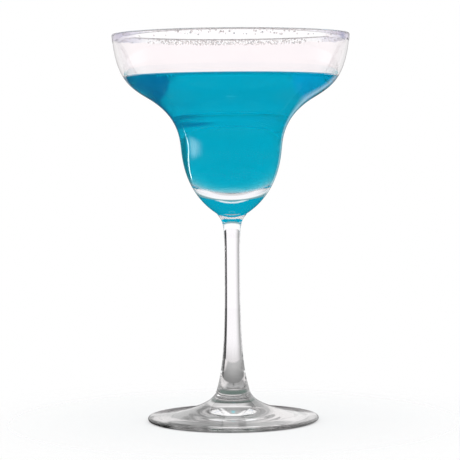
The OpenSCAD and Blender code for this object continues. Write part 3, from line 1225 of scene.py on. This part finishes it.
def make_foot_card():
    """Low ring round the foot for the greys of the light that bounces inside it."""
    graph, shader, look = refracted_card("foot_card", stage_wall(*FOOT_CARD))
    pale = graph.window(look.azimuth, *FOOT_PALE_AZIMUTHS)
    pale = graph.product(pale, graph.smooth(look.z, *FOOT_PALE_HEIGHTS))
    colour = graph.tint(pale, FOOT_GREY, FOOT_PALE)
    colour = deep_tone(graph, look, colour, graph.smooth(look.azimuth, *DEEP_AZIMUTHS))
    colour = graph.tint(graph.window(look.azimuth, *FOOT_DARK_AZIMUTHS), colour, CARD_DARK)
    few_faces = graph.under(look.crossings, TWO_PIECES)
    paint(graph, shader, colour, graph.product(look.bounced, few_faces))


# Lights and cards that the glass mirrors

LIGHT_WALL = (0.155, 0.06, 0.14)
STRIP_LIGHT = (8, 8, 8, 1)
STRIP_TOP = 0.1165
STRIP_HEIGHTS = (72 * MM, STRIP_TOP, 3 * MM)
STRIP_AZIMUTH = 71.8
STRIP_HALF = 3.6
STRIP_SOFT = 1.5
# Degrees that the strip leans round the wall for each metre of height
STRIP_LEAN = 504
SOFT_LIGHT = (3.9, 3.9, 3.9, 1)
SOFT_AZIMUTHS = (-112, -82, 12)
SOFT_HEIGHTS = (90 * MM, 113 * MM)
SOFT_FADE = (-124, -84, 0.25, 1.0)


def make_lights():
    """Strip light and soft light at the left, low enough that only the well mirrors them."""
    graph, shader, look = mirrored_card("light_wall", stage_wall(*LIGHT_WALL))
    lean = graph.math("MULTIPLY_ADD", look.z, STRIP_LEAN, look.azimuth)
    middle = STRIP_LEAN * STRIP_TOP - STRIP_AZIMUTH
    strip = graph.window(lean, middle - STRIP_HALF, middle + STRIP_HALF, STRIP_SOFT)
    strip = graph.product(strip, graph.window(look.z, *STRIP_HEIGHTS))
    soft = graph.product(graph.window(look.azimuth, *SOFT_AZIMUTHS), graph.smooth(look.z, *SOFT_HEIGHTS))
    soft = graph.product(soft, graph.smooth(look.azimuth, *SOFT_FADE))
    paint(graph, shader, graph.tint(strip, SOFT_LIGHT, STRIP_LIGHT), graph.largest(strip, soft))


# Name, height, inner and outer radius, and the azimuths that the flag covers, or None for all
FLAGS = (
    ("cup_flag", 0.145, (0.045, 0.165), (-140, -30, 10)),
    ("foot_flag", 0.085, (0.0048, 0.09), None),
)


def make_flags():
    """Dark rings that keep the lights and the foot out of what the shoulder mirrors."""
    for name, z, radii, azimuths in FLAGS:
        rings = [stage_ring(radius, z) for radius in radii]
        graph, shader, look = mirrored_card(name, stage_band(*rings))
        cover = graph.window(look.azimuth, *azimuths) if azimuths else 1.0
        paint(graph, shader, DARK_ROOM, cover)


STRIP_FLAG = (0.0865, 0.095, 0.145)
STRIP_FLAG_AZIMUTHS = (-76, -35, 2)
# Metres that the flag's lower edge falls for each degree of azimuth, its height at azimuth 0, and its
# softness
STRIP_FLAG_SLANT = 0.0014
STRIP_FLAG_EDGE = 18 * MM
STRIP_FLAG_SOFT = 1 * MM


def make_strip_flag():
    """Slanted dark card that ends the strip light's mirror image at the top of the well."""
    graph, shader, look = mirrored_card("strip_flag", stage_wall(*STRIP_FLAG))
    level = graph.math("MULTIPLY_ADD", look.azimuth, STRIP_FLAG_SLANT, look.z)
    cover = graph.smooth(level, STRIP_FLAG_EDGE - STRIP_FLAG_SOFT, STRIP_FLAG_EDGE + STRIP_FLAG_SOFT)
    cover = graph.product(cover, graph.window(look.azimuth, *STRIP_FLAG_AZIMUTHS))
    paint(graph, shader, DARK_ROOM, cover)


CUP_CARD = (0.1, 0.15, 0.21)
CUP_MIRROR = (0.58, 0.56, 0.57, 1)
CUP_CARD_SIDES = (42, 120, 16)


def make_cup_card():
    """Grey band at the sides of the cup, which their outside mirrors at a low angle."""
    graph, shader, look = mirrored_card("cup_card", stage_wall(*CUP_CARD))
    side = graph.math("ABSOLUTE", look.azimuth)
    paint(graph, shader, CUP_MIRROR, graph.window(side, *CUP_CARD_SIDES))


make_world()
make_floor()
make_table_patch()
make_stem_card()
make_lights()
make_flags()
make_strip_flag()
make_flare_card()
make_foot_card()
make_cup_card()

# Looks bounce many times in thick glass before they leave it
MANY_BOUNCES = 128
MOST_CROSSINGS = 64
MOST_CARDS = 16
scene = bpy.context.scene
scene.view_settings.view_transform = "Standard"
scene.cycles.max_bounces = MANY_BOUNCES
scene.cycles.transmission_bounces = MOST_CROSSINGS
scene.cycles.glossy_bounces = MANY_BOUNCES
scene.cycles.transparent_max_bounces = MOST_CARDS
